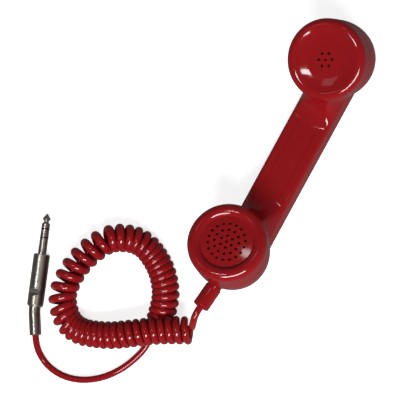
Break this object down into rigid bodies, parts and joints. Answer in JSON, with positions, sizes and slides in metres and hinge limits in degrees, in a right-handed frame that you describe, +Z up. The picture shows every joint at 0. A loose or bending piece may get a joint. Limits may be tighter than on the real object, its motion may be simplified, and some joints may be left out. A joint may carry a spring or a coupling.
{
  "type": "telephone handset",
  "caption": "Bar-shaped telephone handset in glossy moulded plastic, with screw-on caps, a curly cord and a metal jack plug, lying on its back.",
  "frame": {"origin": "on the surface it lies on, at the middle of the flat back of the handle", "axes": "+X along the handle towards the earpiece, +Y across it towards the side where the cord lies, +Z up, out of the caps"},
  "size_m": [0.3311, 0.1824, 0.0655],
  "materials": {
    "shell_red": "gloss",
    "cord_red": "gloss",
    "plug_nickel": "polished",
    "plug_black": "gloss",
    "clear_tube": "gloss",
    "brass": "satin",
    "steel": "satin",
    "magnet_grey": "matte",
    "can_aluminium": "satin",
    "unit_black": "matte",
    "board_brown": "matte",
    "film_amber": "gloss",
    "soft_black": "matte",
    "felt_grey": "matte",
    "wire_yellow": "satin",
    "wire_black": "satin",
    "wire_green": "satin"
  },
  "bodies": {
    "root": {"handset_body": "shell_red", "ear_cap": "shell_red", "mouth_cap": "shell_red", "receiver_gasket": "soft_black", "receiver_front_plate": "unit_black", "receiver_diaphragm": "film_amber", "receiver_coil": "brass", "receiver_pole_plate": "steel", "receiver_magnet": "magnet_grey", "receiver_yoke": "steel", "receiver_frame": "unit_black", "receiver_terminal_board": "board_brown", "microphone_felt": "felt_grey", "microphone_holder": "unit_black", "microphone_mount": "soft_black", "microphone_capsule": "can_aluminium", "microphone_board": "board_brown", "cord_boot": "cord_red", "cord_entry": "cord_red", "cord_crimp_ring": "brass", "wire_receiver_signal": "wire_yellow", "wire_receiver_common": "wire_black", "wire_microphone_signal": "wire_green", "wire_microphone_common": "wire_black", "cord_handset_lead": "cord_red", "cord_curly": "cord_red", "cord_plug_lead": "cord_red", "plug_tip": "plug_nickel", "plug_tip_insulator": "plug_black", "plug_ring": "plug_nickel", "plug_ring_insulator": "plug_black", "plug_sleeve": "plug_nickel", "plug_tip_terminal": "brass", "plug_ring_terminal": "brass", "plug_ground_tag": "brass", "plug_lining": "clear_tube", "plug_barrel": "plug_nickel", "plug_guard": "plug_nickel", "plug_cord_end": "cord_red", "plug_wires": "wire_yellow"}
  },
  "joints": []
}
